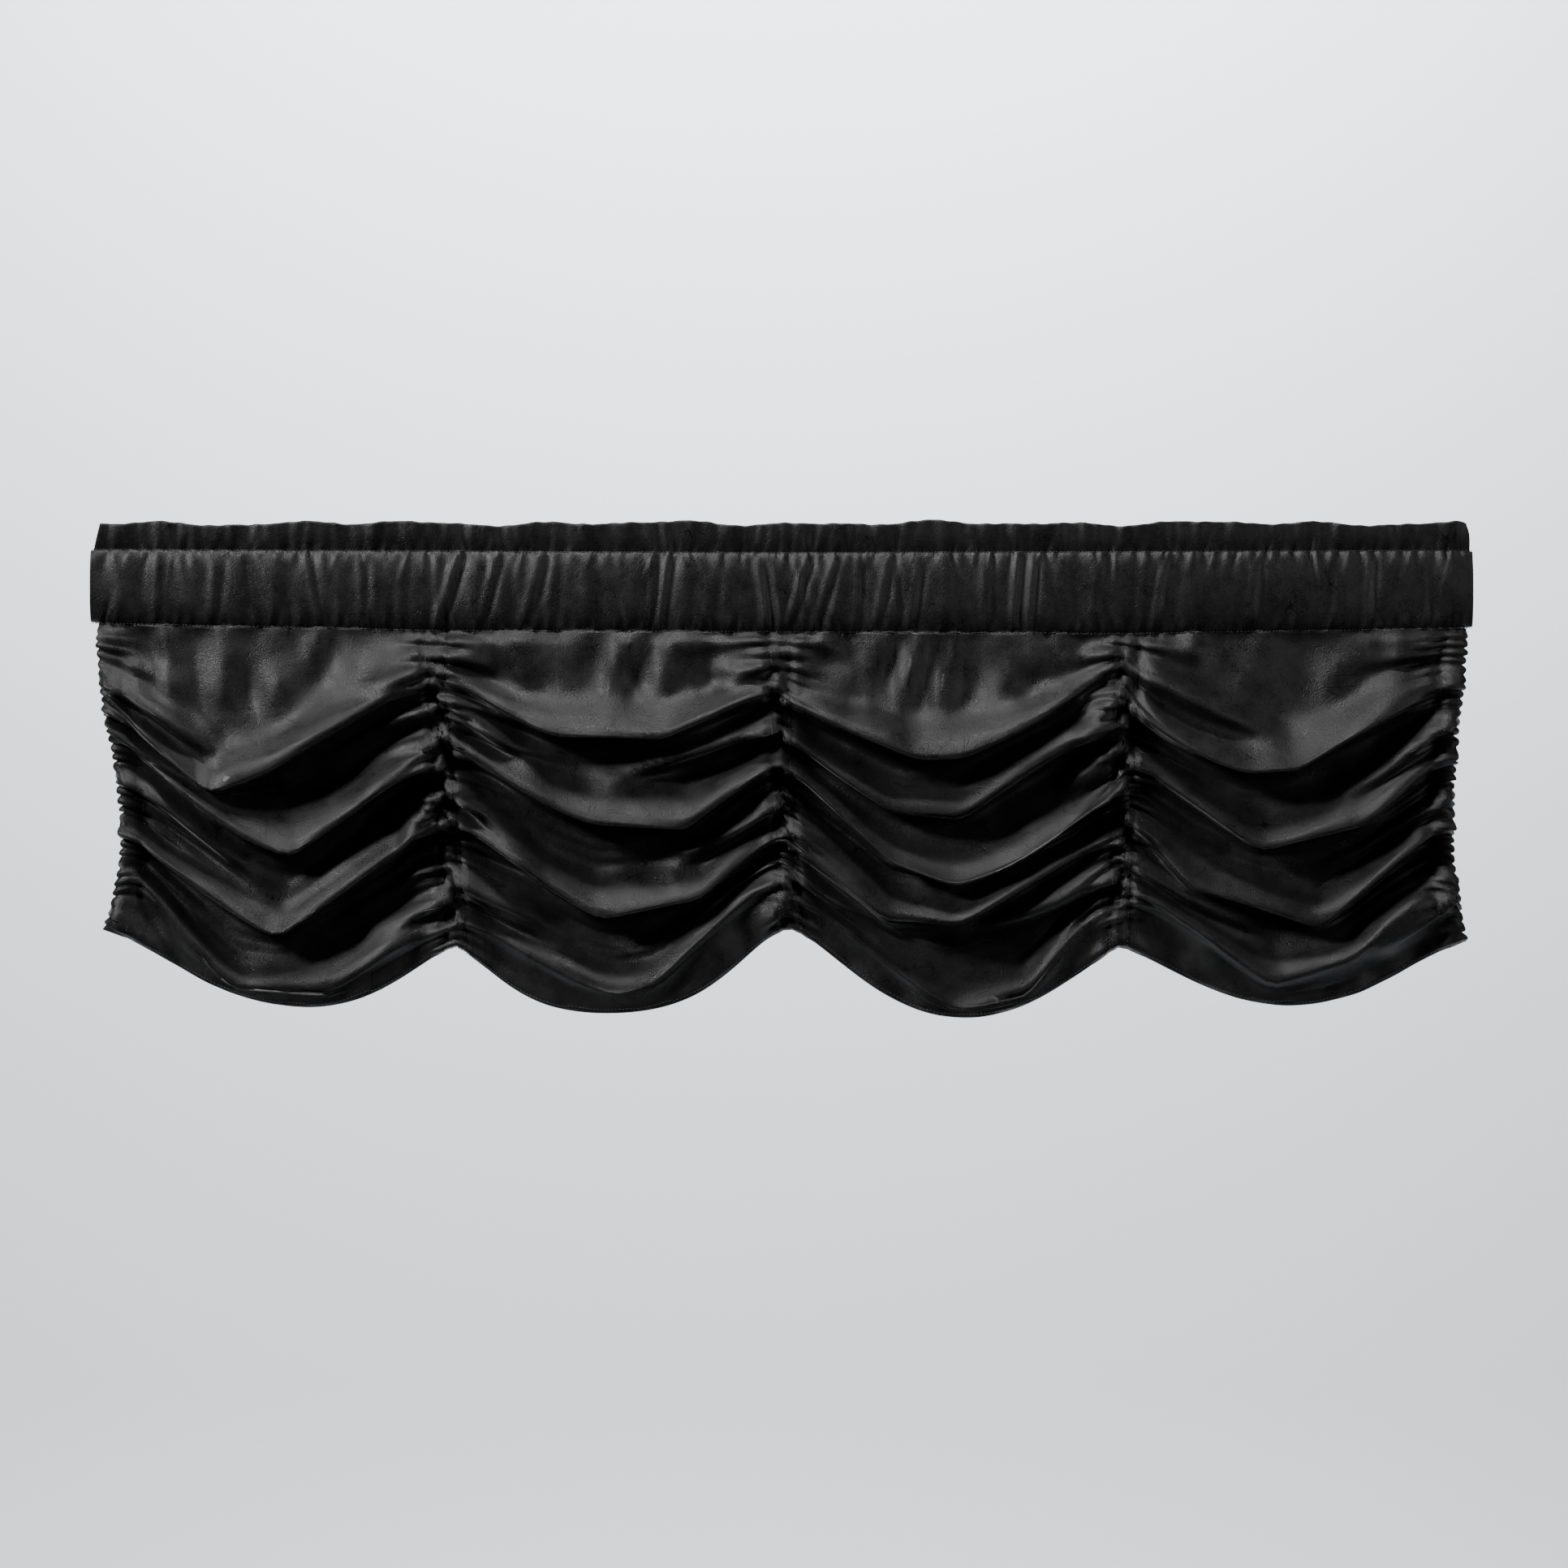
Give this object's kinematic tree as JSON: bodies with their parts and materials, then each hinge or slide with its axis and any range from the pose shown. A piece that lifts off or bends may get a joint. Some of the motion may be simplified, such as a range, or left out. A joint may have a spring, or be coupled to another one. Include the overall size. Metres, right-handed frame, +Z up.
{
  "type": "window valance",
  "caption": "Gathered window valance with a standing frill, a rod pocket and one width of black velvet drawn up into scalloped swags.",
  "frame": {"origin": "middle of the frill's top edge, in the plane of the pocket's seams", "axes": "+X along the valance to the viewer's right, +Z up, and the front faces -Y"},
  "size_m": [1.271, 0.0619, 0.4563],
  "materials": {
    "black_velvet": "short pile with a soft sheen"
  },
  "bodies": {
    "root": {"heading_frill": "black_velvet", "rod_pocket": "black_velvet", "swag_cloth": "black_velvet"}
  },
  "joints": []
}
